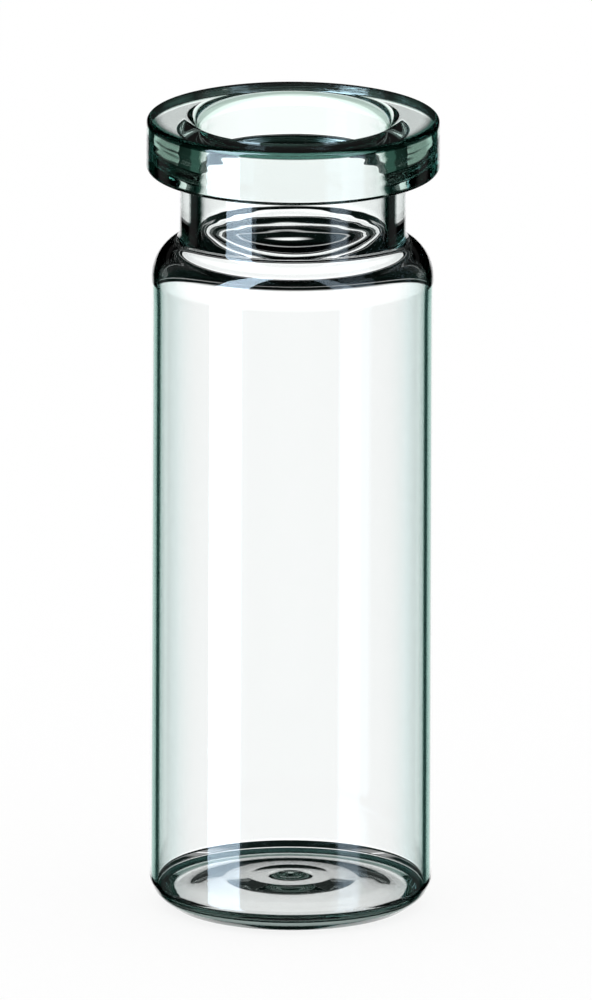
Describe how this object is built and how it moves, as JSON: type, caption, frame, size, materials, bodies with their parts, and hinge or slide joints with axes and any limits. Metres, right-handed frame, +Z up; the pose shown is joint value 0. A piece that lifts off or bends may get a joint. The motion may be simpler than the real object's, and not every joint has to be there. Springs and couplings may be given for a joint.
{
  "type": "glass sample vial",
  "caption": "Clear glass vial with a straight round body, a narrower neck and a thick flange at its mouth for a crimped cap, standing on a pushed-up base.",
  "frame": {"origin": "on the axis of the vial, at the level of the surface it stands on", "axes": "+Z up along the axis of the vial and out of its mouth"},
  "size_m": [0.0198, 0.0198, 0.0546],
  "materials": {
    "clear_glass": "clear and fire-polished, with a faint green tint in its thick parts"
  },
  "bodies": {
    "root": {"vial": "clear_glass"}
  },
  "joints": []
}
